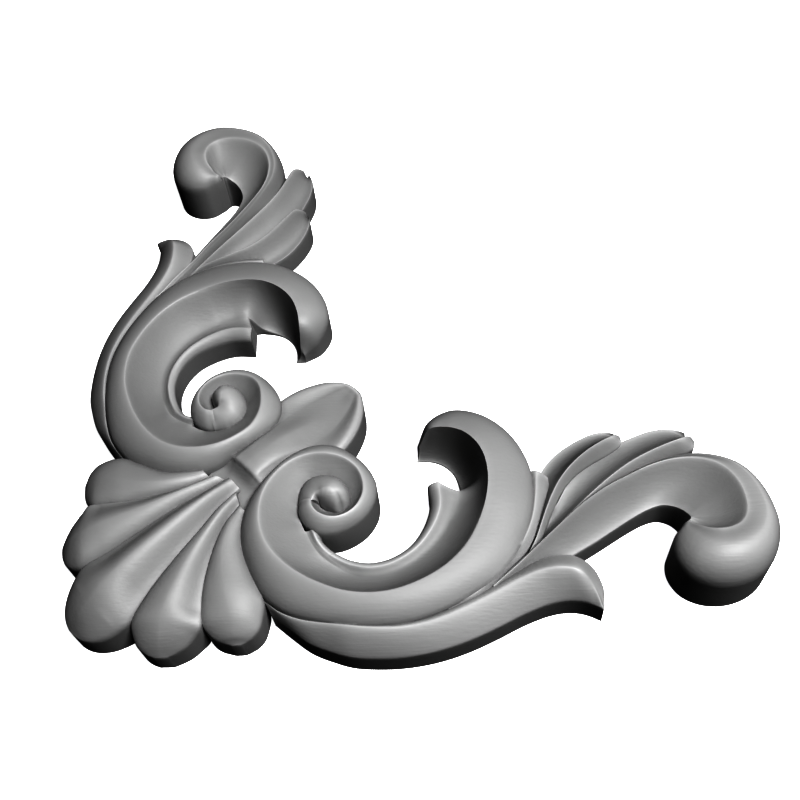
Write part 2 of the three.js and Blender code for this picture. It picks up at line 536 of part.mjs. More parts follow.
const result = carving.getMesh();
let carved = new THREE.BufferGeometry();
carved.setAttribute('position', new THREE.Float32BufferAttribute(result.vertProperties, 3));
carved.setIndex(Array.from(result.triVerts));
carved.scale(SCALE, SCALE, SCALE);
carved = mergeVertices(carved, 1e-4);
carved.computeVertexNormals();

const applique = new THREE.Mesh(carved, new THREE.MeshStandardMaterial({
  color: WOOD_GREY,
  roughness: WOOD_ROUGHNESS,
  metalness: 0,
}));
applique.name = 'applique';
group.add(applique);

export default group;
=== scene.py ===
import math

import bmesh
import bpy
import numpy as np
from mathutils import Matrix, Vector


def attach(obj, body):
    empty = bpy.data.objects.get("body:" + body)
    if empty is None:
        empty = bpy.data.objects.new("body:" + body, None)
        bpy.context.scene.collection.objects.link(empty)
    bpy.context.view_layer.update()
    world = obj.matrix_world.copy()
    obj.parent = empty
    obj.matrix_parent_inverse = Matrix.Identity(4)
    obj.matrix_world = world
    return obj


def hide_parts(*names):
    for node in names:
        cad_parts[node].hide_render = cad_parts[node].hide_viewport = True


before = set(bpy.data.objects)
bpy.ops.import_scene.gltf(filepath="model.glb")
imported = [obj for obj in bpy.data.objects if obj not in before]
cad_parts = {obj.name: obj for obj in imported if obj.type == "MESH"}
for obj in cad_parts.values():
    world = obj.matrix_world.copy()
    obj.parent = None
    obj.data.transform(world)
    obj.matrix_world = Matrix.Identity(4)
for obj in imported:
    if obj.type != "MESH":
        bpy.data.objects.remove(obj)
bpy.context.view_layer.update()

# Sizes are sketch millimetres, scaled so that one arm of the applique is ARM_LENGTH long overall.
ARM_LENGTH = 200.0
SKETCH_LENGTH = 205.4
SCALE = ARM_LENGTH / SKETCH_LENGTH
MM = 0.001

# The sanded carving stays a hair inside the box of the solid.
SANDED = 0.9995

# How far the gouge work is sanded over: the radius left on ridges, in sketch millimetres.
RIDGE_SOFTNESS = 0.3

# Near its two feet a section is softened less: over the distance to the foot, divided by this.
FOOT_ROOM = 2.5
LEAST = 1e-4

# Tone curve of the photograph, as a display gamma below 1 for its strong contrast.
TONE_GAMMA = 0.45

# Scale of the finish, in metres: fibres along and across the grain, orange peel and clouds.
FIBRE_SIZE = (0.014, 0.0007, 0.0007)
PEEL_SIZE = 0.0012
CLOUD_SIZE = 0.03
GRAIN_RELIEF = 0.00012
PEEL_RELIEF = 0.00005
RELIEF_STRENGTH = 0.5

# Colours of the coat between its clouds, and the painted shade (grooves, flats) and painted highlight
# (ridges) they are multiplied by.
COAT_DARK = "#b2b2b2"
COAT_LIGHT = "#bebebe"
GROOVE_PAINTED_SHADE = "#c2c2c2"
FLAT_PAINTED_SHADE = "#dedede"
RIDGE_PAINTED_HIGHLIGHT = "#ffffff"
PAPER_WHITE = "#f4f4f4"

# Roughness in the grooves and on the ridges, and how much the clouds add or take.
GROOVE_ROUGHNESS = 0.62
RIDGE_ROUGHNESS = 0.48
CLOUD_ROUGHNESS = 0.05

# Curvature that counts as a full ridge (1 / metre), and how many vertex rings it spreads over.
RIDGE_BEND = 900.0
RIDGE_SPREAD = 3

# Samples laid along a run between two stations, and across one strip.
ALONG = 8
ACROSS = 12

# Intervals of the fine cross-section that is softened, and those of them kept on the two walls.
FINE = 40
FIRST_WALL = (0.0, 20.0, 32.0, 37.0)
LAST_WALL = (0.0, 3.0, 8.0, 20.0, 40.0)

# Points closer than this are merged, in a run (sketch mm) and in the joined carving (metres).
RUN_MERGE = 1e-4
JOIN_MERGE = 2e-5
SHORTEST_EDGE = 1e-6

# Edges sharper than this stay crisp in the shading.
CRISP_ANGLE = math.radians(38)

# How far a run's tucked end reaches (in stations), drops (mm) and narrows (share).
TUCK_LENGTH = 0.15
TUCK_DROP = 0.06
TUCK_SHARE = 0.004

# The studio, in metres and watts: a white room, one soft lamp and what it is aimed at.
ROOM_HALF = 3.0
ROOM_HEIGHT = 3.0
FLOOR_LEVEL = -0.0002
PAPER_GLOW = 1.0
ROOM_FILL = 0.012
LAMP_PLACE = Vector((0.366, -0.143, 0.822))
LAMP_AIM = Vector((0.05, 0.04, 0.0))
LAMP_SIZE = 0.35
LAMP_POWER = 14.0

# The camera: its place in sketch millimetres, the directions of its frame, and its lens.
CAMERA_PLACE = Vector((66.3, -142.3, 262.0))
CAMERA_RIGHT = Vector((0.99775, 0.00124, -0.06698))
CAMERA_DOWN = Vector((-0.03682, -0.82516, -0.56369))
CAMERA_FORWARD = Vector((-0.05597, 0.56489, -0.82326))
SENSOR = 36.0
FOCAL_PIXELS = 974.165
IMAGE_PIXELS = 800.0


def strip(curve=1.0, hollow=0.0, ogee=0.0, lip=0.0):
    """Settings of the surface between two rails; each may be a list of (station, number) pairs.

    curve > 1 swells like a quarter round that falls to its low side, curve < -1 is its opposite,
    a cove. hollow > 0 scoops by that many millimetres, ogee > 0 turns the foot outwards and
    lip > 0 turns it up into a thin margin.
    """
    return curve, hollow, ogee, lip


WALL = strip()
ROLL = strip(curve=1.7)
COVE = strip(
    curve=[(0, -1.4), (14, -1.1), (27, -1.1), (29, -1.6), (31, -1.9), (35, -1.9)],
    hollow=[(0, 0.0), (18, 0.0), (20, 0.9), (27, 0.9), (29, 0.3), (31, 0.0)],
)
BEAD_GROOVE = strip(hollow=0.6)
BEAD = strip(curve=1.8)
KNOB_SIDE = strip(curve=[(0, 2.1), (5, 2.1), (7, 1.7)])
LEAF_BACK = strip(curve=1.1, hollow=-0.3)
LEAF_FACE = strip(curve=1.25)
GOUGE = strip(hollow=2.4)
CHEEK = strip(curve=1.2)
DISH = strip(hollow=1.7)
BALL = strip(curve=[(0, 1.0), (7, 1.1), (11, 1.9), (22, 1.9)])
CROWN = strip(ogee=1.0)
LOBE_NEAR = strip(curve=1.8)
LOBE_FAR = strip(
    curve=[(0, 1.5), (5, 1.5), (7, 1.8)],
    ogee=[(0, 0.25), (5, 0.25), (7, 0.0)],
    lip=[(0, 0.45), (5, 0.45), (7, 0.0)],
)
RIM = strip(curve=1.8)
BLADE_HOLLOW = strip(ogee=[(0, 0.0), (6, 0.0), (9, 1.0)])
BLADE_BACK = strip(curve=1.7, ogee=[(0, 0.0), (6, 0.0), (9, 1.0)])

# Stations of the C-scroll from the eye of the volute to the hook:
# x, y, z of the outer edge, of the ridge and of the inner edge of the cove.
SCROLL = [
    [19.8, -7.2, 12.8, 24.1, -7.9, 18.0, 25.8, -7.0, 13.0],
    [20.0, -10.4, 12.8, 24.6, -10.0, 18.0, 26.4, -7.8, 12.4],
    [22.2, -14.0, 12.5, 26.3, -11.9, 17.7, 27.5, -8.5, 12.0],
    [25.6, -16.2, 12.2, 29.2, -13.1, 17.4, 29.1, -9.0, 12.0],
    [30.2, -16.6, 12.0, 32.2, -12.9, 17.1, 31.0, -9.2, 12.0],
    [35.0, -14.9, 12.0, 35.2, -11.3, 16.8, 32.6, -8.7, 12.0],
    [39.4, -11.4, 12.0, 37.4, -8.7, 16.6, 33.5, -7.4, 12.0],
    [42.2, -6.2, 12.0, 38.7, -5.0, 16.4, 33.6, -5.5, 12.0],
    [42.4, -0.6, 12.0, 38.5, -1.4, 16.5, 32.8, -3.4, 12.0],
    [40.0, 4.4, 12.2, 36.9, 2.4, 16.9, 31.2, -1.8, 12.0],
    [35.4, 9.0, 12.5, 33.6, 5.2, 17.8, 28.8, -0.8, 12.2],
    [29.2, 12.1, 13.0, 29.0, 6.6, 18.7, 25.8, -0.8, 12.5],
    [22.2, 11.6, 13.3, 23.4, 6.7, 18.9, 23.0, -2.0, 12.7],
    [15.6, 7.6, 13.5, 17.6, 4.4, 19.1, 21.2, -4.4, 13.0],
    [9.6, 0.6, 13.5, 13.2, -0.4, 19.7, 20.4, -7.6, 12.4],
    [5.4, -6.4, 13.3, 10.5, -6.2, 20.0, 20.4, -10.8, 12.0],
    [3.4, -14.2, 12.8, 9.8, -12.4, 20.0, 21.0, -13.0, 12.2],
    [4.0, -21.2, 12.3, 10.6, -17.6, 19.9, 22.2, -15.6, 12.6],
    [6.4, -27.6, 12.0, 12.8, -22.4, 19.7, 23.9, -19.1, 12.4],
    [10.6, -34.2, 12.0, 16.2, -26.5, 19.4, 26.4, -22.6, 12.1],
    [17.0, -39.8, 12.3, 21.4, -30.7, 19.2, 30.2, -25.2, 10.4],
    [25.4, -43.0, 13.0, 28.0, -34.3, 19.2, 35.0, -27.4, 8.8],
    [35.6, -44.8, 13.5, 36.2, -37.0, 19.3, 40.4, -28.7, 8.9],
    [46.5, -45.0, 13.5, 45.9, -37.2, 19.3, 46.0, -28.4, 9.3],
    [57.0, -42.6, 13.5, 54.6, -34.5, 19.2, 51.6, -26.2, 9.5],
    [67.0, -38.0, 13.5, 62.4, -29.8, 19.1, 56.6, -22.6, 9.6],
    [76.4, -31.6, 13.3, 68.2, -23.7, 19.2, 60.8, -17.9, 9.6],
    [83.4, -23.0, 13.0, 72.0, -16.4, 19.3, 63.8, -12.6, 9.8],
    [87.4, -12.6, 13.0, 74.3, -8.8, 19.8, 65.8, -7.2, 9.8],
    [88.2, -2.0, 13.0, 74.9, -2.0, 20.0, 66.7, -2.4, 9.6],
    [86.4, 7.0, 13.0, 73.9, 4.4, 20.0, 67.1, 1.6, 3.0],
    [81.2, 16.2, 12.6, 71.4, 9.4, 19.5, 65.4, 8.2, 0.6],
    [73.4, 22.8, 11.8, 67.6, 13.4, 18.3, 62.4, 11.6, 0.6],
    [64.6, 25.2, 10.0, 63.0, 15.5, 17.0, 59.0, 13.2, 0.6],
    [57.6, 22.2, 7.0, 58.6, 16.2, 15.0, 56.0, 13.6, 0.5],
    [54.2, 16.8, 3.5, 54.9, 15.6, 6.0, 54.0, 13.5, 0.5],
]
# The knob in the eye of the volute: outer edge, crest and edge of the pit.
KNOB = [
    [33.4, -9.2, 12.0, 33.0, -9.4, 12.4, 32.4, -9.9, 12.0],
    [34.7, -7.2, 12.0, 32.5, -7.8, 16.8, 30.8, -10.0, 12.0],
    [34.9, -4.4, 12.0, 31.6, -6.3, 18.9, 29.6, -9.6, 12.0],
    [32.6, -0.4, 12.2, 29.8, -5.3, 19.7, 28.4, -9.0, 12.2],
    [27.6, 1.7, 12.2, 28.0, -5.1, 19.5, 27.4, -8.4, 12.4],
    [22.4, 0.6, 12.2, 26.4, -5.4, 18.8, 26.5, -7.7, 12.8],
    [19.9, -2.8, 12.2, 25.0, -6.4, 18.2, 26.1, -7.2, 13.2],
    [19.6, -7.9, 12.5, 24.2, -8.5, 17.9, 26.0, -7.3, 12.8],
]
VOLUTE_RANGE = (0, 7)
WHORL_RANGE = (7, 17)
BOW_RANGE = (17, 29)
HOOK_RANGE = (29, 35)

# The beaded step inside the bow of the scroll: crest of the bead and top of its wall.
STEP = [
    [24.0, -15.2, 13.2, 26.0, -14.0, 9.0],
    [25.6, -18.6, 12.6, 27.0, -17.6, 9.0],
    [27.9, -21.2, 11.5, 29.0, -19.8, 8.9],
    [31.2, -23.4, 10.5, 32.2, -21.9, 8.7],
    [35.6, -25.3, 10.1, 36.2, -23.5, 8.4],
    [40.6, -26.2, 10.2, 40.6, -24.2, 8.5],
    [45.7, -25.6, 10.5, 45.2, -23.5, 8.5],
    [50.3, -23.6, 10.9, 49.2, -21.7, 8.5],
    [54.4, -20.5, 11.1, 52.6, -18.9, 8.3],
    [57.7, -16.3, 11.3, 55.0, -15.4, 8.1],
    [60.0, -11.8, 11.5, 56.8, -11.4, 8.0],
    [61.2, -7.0, 11.7, 57.8, -7.0, 8.2],
    [60.7, -0.2, 11.9, 57.3, -0.6, 8.8],
]
# Outer leaf: hidden inner edge, ridge and top of the outer wall.
OUTER_LEAF = [
    [11.0, -33.5, 9.5, 11.6, -36.0, 10.5, 13.2, -38.8, 7.6],
    [16.5, -38.5, 10.0, 16.4, -39.8, 12.0, 18.6, -43.2, 8.0],
    [22.5, -41.0, 10.5, 22.4, -42.4, 13.0, 24.4, -47.4, 8.2],
    [29.0, -42.0, 11.0, 28.8, -43.8, 14.0, 30.6, -50.0, 8.4],
    [35.0, -43.0, 11.0, 35.0, -44.9, 15.0, 36.0, -51.6, 8.5],
    [41.6, -43.5, 11.0, 41.8, -45.6, 15.0, 42.6, -52.2, 8.5],
    [49.6, -43.0, 11.0, 49.8, -45.5, 14.5, 50.8, -52.0, 8.7],
    [57.4, -41.0, 11.0, 57.8, -43.9, 14.1, 59.4, -50.6, 9.0],
    [65.6, -37.4, 11.0, 66.2, -40.6, 14.0, 68.0, -47.9, 9.1],
    [73.6, -33.4, 11.0, 74.8, -36.4, 14.0, 76.3, -44.2, 9.0],
    [80.2, -29.8, 11.0, 82.3, -32.6, 14.5, 83.6, -40.6, 8.9],
    [86.6, -26.4, 11.0, 88.4, -30.5, 15.3, 90.6, -38.0, 9.0],
    [92.8, -24.6, 11.2, 94.0, -30.1, 15.9, 95.6, -37.2, 8.9],
    [98.6, -25.0, 11.0, 98.4, -31.0, 15.5, 99.4, -37.5, 8.7],
    [102.8, -28.2, 10.5, 101.6, -33.2, 12.9, 102.4, -38.5, 8.5],
    [105.2, -33.6, 9.4, 103.4, -36.4, 10.7, 104.2, -39.4, 8.2],
    [105.2, -38.4, 8.2, 104.8, -38.9, 8.3, 104.8, -39.7, 8.0],
]
# Narrow frond behind the hook: inner edge, ridge and outer edge.
FROND = [
    [60.0, -36.0, 10.0, 62.0, -39.9, 13.4, 64.5, -41.6, 10.5],
    [67.0, -32.5, 10.0, 70.0, -36.2, 13.8, 72.5, -36.8, 11.0],
    [72.5, -28.0, 10.0, 76.0, -31.3, 14.0, 79.6, -29.6, 11.5],
    [77.5, -22.0, 10.0, 81.2, -25.2, 14.1, 84.4, -24.2, 11.7],
    [81.5, -15.5, 10.0, 84.8, -19.4, 14.2, 88.2, -17.8, 11.6],
    [84.0, -9.0, 10.0, 87.4, -12.6, 14.0, 91.2, -10.4, 11.2],
    [85.2, -3.0, 10.0, 88.6, -6.0, 13.9, 93.0, -3.4, 10.4],
    [85.6, 2.4, 10.0, 89.4, 1.6, 13.4, 93.0, 0.8, 10.0],
]
# Finger leaves: edge towards the stem, ridge and outer edge.
SHORT_FINGER = [
    [84.5, -27.5, 9.0, 83.6, -26.5, 10.5, 82.4, -24.5, 9.0],
    [88.6, -21.5, 11.0, 87.4, -20.5, 13.5, 86.5, -18.0, 10.0],
    [91.0, -15.8, 11.5, 90.0, -14.2, 14.6, 87.8, -10.0, 9.0],
    [93.6, -10.0, 11.5, 92.2, -8.9, 15.0, 89.0, -2.0, 8.8],
    [97.0, -3.6, 11.0, 95.2, -3.1, 15.1, 91.5, 4.2, 8.8],
    [101.2, 1.4, 10.6, 99.0, 1.8, 15.5, 95.6, 9.2, 8.8],
    [106.2, 5.2, 10.2, 103.6, 6.0, 15.9, 100.8, 13.0, 9.0],
    [111.0, 8.0, 9.8, 108.2, 9.2, 15.8, 106.4, 15.6, 9.6],
    [114.4, 10.4, 9.8, 111.9, 11.6, 14.9, 110.4, 16.3, 10.0],
    [115.7, 12.0, 9.9, 113.6, 13.4, 12.9, 112.5, 16.0, 10.0],
    [115.8, 13.7, 9.9, 114.9, 14.6, 10.5, 113.9, 15.4, 10.0],
]
LONG_FINGER = [
    [81.5, -29.5, 9.0, 81.0, -28.6, 10.5, 79.8, -25.0, 9.0],
    [86.4, -25.0, 10.0, 85.6, -23.8, 12.0, 84.5, -19.5, 10.0],
    [93.2, -18.6, 11.0, 92.0, -18.2, 13.2, 91.0, -13.0, 10.5],
    [99.4, -13.2, 11.5, 98.0, -12.7, 14.2, 94.6, -8.0, 10.5],
    [105.6, -7.8, 12.0, 104.1, -7.2, 14.9, 98.0, -2.0, 10.0],
    [111.8, -3.0, 12.0, 110.3, -2.0, 15.4, 103.0, 3.6, 9.6],
    [118.2, 1.2, 12.0, 116.4, 2.4, 15.5, 109.5, 9.5, 9.6],
    [124.6, 4.2, 11.5, 122.5, 5.8, 15.6, 117.6, 13.6, 9.6],
    [130.6, 6.4, 11.0, 128.4, 8.3, 15.8, 125.0, 16.1, 10.0],
    [134.4, 7.6, 10.5, 132.4, 10.0, 15.4, 130.4, 16.4, 10.2],
    [136.6, 9.2, 10.5, 134.6, 11.7, 13.4, 133.2, 15.6, 10.3],
    [137.2, 11.3, 10.5, 136.1, 12.9, 11.0, 134.8, 14.6, 10.4],
]
# Stem and its curled ball: outer edge, summit, ridge and inner edge.
STEM = [
    [76.6, -31.4, 10.5, 75.2, -33.2, 12.6, 75.0, -34.2, 13.2, 76.0, -38.0, 9.0],
    [84.0, -25.0, 11.0, 82.4, -27.2, 13.8, 82.2, -28.4, 14.6, 84.0, -33.0, 9.0],
    [90.4, -19.4, 11.2, 89.0, -21.6, 14.8, 88.6, -22.6, 15.7, 90.5, -28.5, 9.0],
    [97.0, -13.6, 11.8, 95.4, -16.2, 16.2, 95.0, -17.2, 17.3, 98.2, -23.7, 9.0],
    [104.0, -7.9, 12.0, 102.0, -10.8, 17.0, 101.6, -11.7, 18.2, 105.0, -19.7, 9.0],
    [110.4, -3.5, 12.0, 108.4, -6.4, 17.3, 108.1, -7.3, 18.5, 111.0, -15.9, 9.2],
    [117.0, 0.4, 12.0, 114.8, -2.9, 17.2, 114.5, -3.8, 18.3, 116.2, -12.7, 9.4],
    [123.8, 3.4, 11.5, 121.3, 0.3, 17.2, 121.0, -0.7, 18.2, 120.6, -10.5, 9.8],
    [130.6, 5.2, 11.0, 127.8, 2.4, 17.2, 127.4, 1.0, 18.5, 124.4, -9.6, 10.4],
    [137.2, 5.2, 11.0, 134.2, 2.8, 17.8, 133.2, 1.0, 19.1, 127.6, -10.6, 11.3],
    [143.2, 2.8, 12.0, 140.0, 1.2, 18.8, 138.2, -0.7, 19.8, 129.6, -12.4, 12.4],
    [148.2, -1.4, 12.6, 144.4, -2.0, 20.2, 141.6, -3.7, 20.4, 130.4, -13.8, 13.2],
    [151.8, -7.0, 13.0, 147.4, -6.4, 20.9, 143.8, -7.7, 20.9, 130.7, -14.6, 13.8],
    [153.9, -13.6, 13.0, 149.2, -11.8, 21.3, 144.8, -12.0, 21.1, 130.8, -15.1, 14.2],
    [154.4, -20.4, 13.0, 149.6, -17.6, 21.6, 144.8, -15.8, 21.2, 130.8, -15.4, 14.5],
    [152.0, -27.6, 13.0, 147.6, -22.6, 21.9, 143.9, -18.8, 21.2, 130.75, -15.6, 14.7],
    [147.2, -33.0, 13.0, 143.9, -26.0, 22.3, 142.0, -21.0, 21.3, 130.7, -15.8, 14.9],
    [140.6, -35.9, 13.0, 139.6, -27.6, 22.5, 139.4, -22.2, 21.4, 130.65, -16.0, 15.0],
    [133.4, -35.9, 13.2, 135.3, -27.4, 22.2, 136.6, -22.5, 21.3, 130.6, -16.2, 15.1],
    [127.6, -33.0, 13.5, 131.8, -25.8, 21.3, 134.0, -21.9, 20.5, 130.5, -16.4, 15.2],
    [124.7, -28.0, 13.8, 129.6, -23.2, 19.9, 132.0, -20.5, 19.2, 130.4, -16.5, 15.3],
    [124.9, -22.8, 14.0, 128.6, -20.4, 18.2, 130.6, -19.2, 17.8, 130.3, -16.6, 15.3],
    [128.2, -18.2, 14.0, 129.4, -17.9, 16.7, 130.0, -17.6, 16.6, 130.2, -16.7, 15.3],
]
# Shell lobes beside the middle one: left valley, crest and right valley.
SIDE_LOBE = [
    [1.2, -2.6, 13.4, 1.8, -5.0, 16.0, 2.6, -7.2, 14.2],
    [-3.3, -7.8, 13.6, -1.9, -10.9, 17.5, -0.5, -13.2, 14.8],
    [-8.2, -15.3, 13.8, -5.4, -17.4, 18.1, -2.9, -20.4, 15.0],
    [-13.2, -22.3, 13.8, -8.9, -24.4, 18.4, -4.5, -27.8, 14.8],
    [-18.2, -29.3, 13.0, -12.0, -32.0, 18.4, -5.1, -35.1, 14.3],
    [-21.8, -34.8, 12.2, -14.0, -37.6, 17.8, -5.0, -39.5, 13.5],
    [-24.9, -41.2, 11.0, -15.4, -42.1, 16.4, -5.0, -43.1, 12.5],
    [-24.4, -45.0, 9.5, -15.8, -45.7, 14.1, -6.8, -45.5, 9.8],
    [-22.8, -47.8, 8.4, -16.2, -48.1, 11.6, -9.4, -47.9, 8.4],
    [-20.5, -49.5, 7.9, -16.4, -49.6, 9.5, -12.2, -49.4, 7.9],
    [-18.4, -50.3, 7.7, -16.5, -50.4, 8.2, -14.6, -50.3, 7.7],
]
END_LOBE = [
    [2.4, -7.1, 12.8, 3.6, -9.0, 15.3, 5.4, -10.0, 13.0],
    [-1.0, -13.0, 13.8, 1.2, -15.0, 16.9, 5.0, -16.0, 12.5],
    [-3.4, -20.3, 14.0, -0.1, -21.4, 17.4, 6.0, -22.6, 12.0],
    [-5.0, -27.8, 13.6, 0.3, -28.7, 17.2, 9.0, -29.8, 12.0],
    [-5.6, -35.1, 13.2, 1.8, -35.5, 16.6, 11.6, -35.5, 11.0],
    [-5.4, -41.8, 11.6, 3.3, -40.8, 15.0, 11.5, -40.3, 10.0],
    [-3.5, -44.6, 9.5, 3.9, -43.9, 13.0, 10.6, -43.5, 9.2],
    [-1.5, -46.1, 8.4, 4.1, -45.7, 11.2, 8.9, -45.5, 8.5],
    [0.9, -46.9, 8.0, 4.2, -46.7, 9.4, 7.1, -46.6, 8.0],
    [2.9, -47.4, 7.7, 4.2, -47.4, 8.2, 5.6, -47.3, 7.7],
]
# Half of the middle lobe: crest on the mirror line (one number for x and y) and its valley.
MIDDLE_LOBE = [
    [0.0, 16.4, 2.2, -1.9, 14.4],
    [-5.5, 18.6, -2.8, -8.1, 15.0],
    [-11.7, 19.9, -7.7, -15.6, 15.3],
    [-17.8, 20.4, -12.7, -22.6, 15.1],
    [-23.8, 20.3, -17.7, -29.6, 14.2],
    [-28.5, 19.7, -21.3, -35.1, 13.4],
    [-33.2, 18.3, -24.9, -41.4, 12.0],
    [-36.5, 16.2, -28.5, -43.9, 10.0],
    [-39.0, 13.8, -32.4, -45.4, 8.7],
    [-40.9, 11.2, -36.4, -45.7, 8.1],
    [-42.2, 9.0, -39.6, -44.9, 7.8],
    [-42.7, 8.1, -41.7, -43.7, 7.7],
]
# Centre leaf by distance along the mirror line: height of the crest,
# then half width and height of the shoulder, of the rim and of the edge.
CENTRE_LEAF = [
    [-5.0, 12.0, 3.0, 11.9, 6.0, 11.8, 8.5, 11.6],
    [0.0, 12.8, 3.6, 12.7, 6.8, 12.5, 9.5, 12.2],
    [2.6, 13.8, 4.0, 13.6, 6.8, 13.0, 9.5, 12.4],
    [4.6, 16.0, 4.4, 15.5, 6.8, 14.2, 9.2, 12.8],
    [5.8, 17.7, 4.6, 16.9, 7.0, 15.0, 9.2, 13.0],
    [9.0, 18.3, 4.8, 17.0, 7.4, 14.6, 9.8, 12.6],
    [14.0, 18.0, 5.0, 16.4, 8.2, 13.4, 11.0, 11.4],
    [20.0, 16.6, 5.8, 14.4, 9.8, 12.4, 12.4, 10.8],
    [25.0, 14.6, 6.6, 12.6, 11.3, 12.0, 13.6, 10.5],
    [30.0, 12.6, 6.8, 11.5, 11.8, 12.1, 14.1, 10.4],
    [35.0, 11.3, 6.2, 11.0, 11.0, 12.2, 13.4, 10.4],
    [40.0, 10.9, 5.0, 10.9, 9.2, 12.2, 11.6, 10.4],
    [44.4, 11.0, 3.6, 11.2, 6.6, 12.2, 9.0, 10.4],
    [47.2, 11.5, 2.2, 11.6, 4.2, 12.0, 6.2, 10.4],
    [49.0, 11.7, 1.2, 11.7, 2.2, 11.5, 3.6, 10.3],
    [49.8, 10.4, 0.7, 10.4, 1.3, 10.3, 2.0, 10.1],
]


def linear(hex_colour):
    """sRGB hex to a linear colour."""
    parts = [int(hex_colour[i:i + 2], 16) / 255.0 for i in (1, 3, 5)]
    lin = [c / 12.92 if c <= 0.04045 else ((c + 0.055) / 1.055) ** 2.4 for c in parts]
    return (lin[0], lin[1], lin[2], 1.0)


def rail_curve(points, samples):
    """Points on the smooth curve through these stations, at these places along them."""
    points = np.asarray(points, float)
    last = len(points) - 1
    before = np.vstack([2 * points[0] - points[1], points, 2 * points[last] - points[last - 1]])
    place = np.clip(np.asarray(samples, float), 0, last)
    index = np.minimum(place.astype(int), last - 1)
    w = (place - index)[:, None]
    p0, p1, p2, p3 = (before[index + k] for k in range(4))
    gaps = [np.sqrt(np.linalg.norm(b - a, axis=1))[:, None] for a, b in ((p0, p1), (p1, p2), (p2, p3))]
    mid = np.where(gaps[1] < LEAST, 1.0, gaps[1])
    first = np.where(gaps[0] < LEAST, mid, gaps[0])
    final = np.where(gaps[2] < LEAST, mid, gaps[2])
    t1 = ((p1 - p0) / first - (p2 - p0) / (first + mid) + (p2 - p1) / mid) * mid
    t2 = ((p2 - p1) / mid - (p3 - p1) / (mid + final) + (p3 - p2) / final) * mid
    c2 = -3 * p1 + 3 * p2 - 2 * t1 - t2
    c3 = 2 * p1 - 2 * p2 + t1 + t2
    return p1 + t1 * w + c2 * w ** 2 + c3 * w ** 3


def rails_of(rows):
    """Rows of x, y, z triples as one list of points per rail."""
    rows = np.asarray(rows, float)
    return [rows[:, 3 * k:3 * k + 3] for k in range(rows.shape[1] // 3)]


def setting_at(setting, places):
    """A strip's setting at every place along its run, as a column."""
    if isinstance(setting, list):
        at, value = zip(*setting)
        return np.interp(places, at, value)[:, None]
    return np.full((len(places), 1), setting)


def strip_points(a, b, kind, s, places):
    """Points across a strip from rail a to rail b."""
    curve, hollow, ogee, lip = (setting_at(setting, places) for setting in kind)
    za, zb = a[:, 2:3], b[:, 2:3]
    high, low = np.maximum(za, zb), np.minimum(za, zb)
    from_low = np.where(za < zb, s[None, :], 1 - s[None, :])
    bend = np.abs(curve)
    swell = (1 - (1 - from_low) ** bend) ** (1 / bend)
    scoop = 1 - (1 - from_low ** bend) ** (1 / bend)
    swell = np.where(curve < 0, scoop, swell)
    turned = from_low ** 2 * (3 - 2 * from_low)
    rise = swell + (turned - swell) * ogee - 4 * from_low * (1 - from_low) ** 3 * lip
    z = low + (high - low) * rise - hollow * 4 * s[None, :] * (1 - s[None, :])
    xy = a[:, None, :2] + (b - a)[:, None, :2] * s[None, :, None]
    return np.concatenate([xy, z[:, :, None]], axis=2)


def sections_of(rails, strips, places):
    """Every cross-section of a run: up the wall, over the strips and down the other wall, softened."""
    fine = np.linspace(0, 1, FINE + 1)
    gathered = (1 - np.cos(np.linspace(0, math.pi, ACROSS))) / 2
    feet = [np.column_stack([rail[:, :2], np.zeros(len(rail))]) for rail in (rails[0], rails[-1])]
    posts = [feet[0]] + rails + [feet[1]]
    kinds = [WALL] + strips + [WALL]
    parts = []
    picks = []
    start = 0
    for k, kind in enumerate(kinds):
        face = strip_points(posts[k], posts[k + 1], kind, fine, places)
        if 0 < k < len(kinds) - 1:
            spots = gathered[:-1] * FINE
        elif k == 0:
            spots = np.array(FIRST_WALL)
        else:
            spots = np.array(LAST_WALL)
        picks.append(start + np.round(spots).astype(int))
        parts.append(face if k == 0 else face[:, 1:])
        start += FINE
    full = np.concatenate(parts, axis=1)
    picks = np.unique(np.concatenate(picks))
    return softened(full, picks)


def softened(full, picks):
    """Rounds the ridges of each cross-section over RIDGE_SOFTNESS and keeps its two feet."""
    steps = np.linalg.norm(np.diff(full, axis=1), axis=2)
    length = np.concatenate([np.zeros((len(full), 1)), np.cumsum(steps, axis=1)], axis=1)
    weight = np.zeros_like(length)
    weight[:, 1:] += steps / 2
    weight[:, :-1] += steps / 2
    here = length[:, picks]
    room = np.minimum(here, length[:, -1:] - here) / FOOT_ROOM
    sigma = np.clip(room, LEAST, RIDGE_SOFTNESS)[:, :, None]
    away = (length[:, None, :] - here[:, :, None]) / sigma
    share = np.exp(-0.5 * away ** 2) * weight[:, None, :]
    share /= share.sum(axis=2, keepdims=True)
    smooth = np.einsum("tpi,tic->tpc", share, full)
    smooth[:, 0] = full[:, 0]
    smooth[:, -1] = full[:, -1]
    return smooth


def tucked(section):
    """Lowers a section and draws it in a little, so that a run's end hides under the next run."""
    middle = (section[0] + section[-1]) / 2
    low = section + (middle - section) * TUCK_SHARE
    low[:, 2] = np.where(section[:, 2] > 0, section[:, 2] - TUCK_DROP, 0.0)
    return low


def carved_run(rows, strips, span=None, tuck=None):
    """The cross-sections of one carved run between two of its stations."""
    rails = rails_of(rows)
    first, last = span or (0, len(rows) - 1)
    places = np.linspace(first, last, (last - first) * ALONG + 1)
    if tuck == "first":
        places = np.append(first - TUCK_LENGTH, places)
    if tuck == "last":
        places = np.append(places, last + TUCK_LENGTH)
    sections = sections_of([rail_curve(rail, places) for rail in rails], strips, places)
    if tuck == "first":
        sections[0] = tucked(sections[0])
    if tuck == "last":
        sections[-1] = tucked(sections[-1])
    return sections


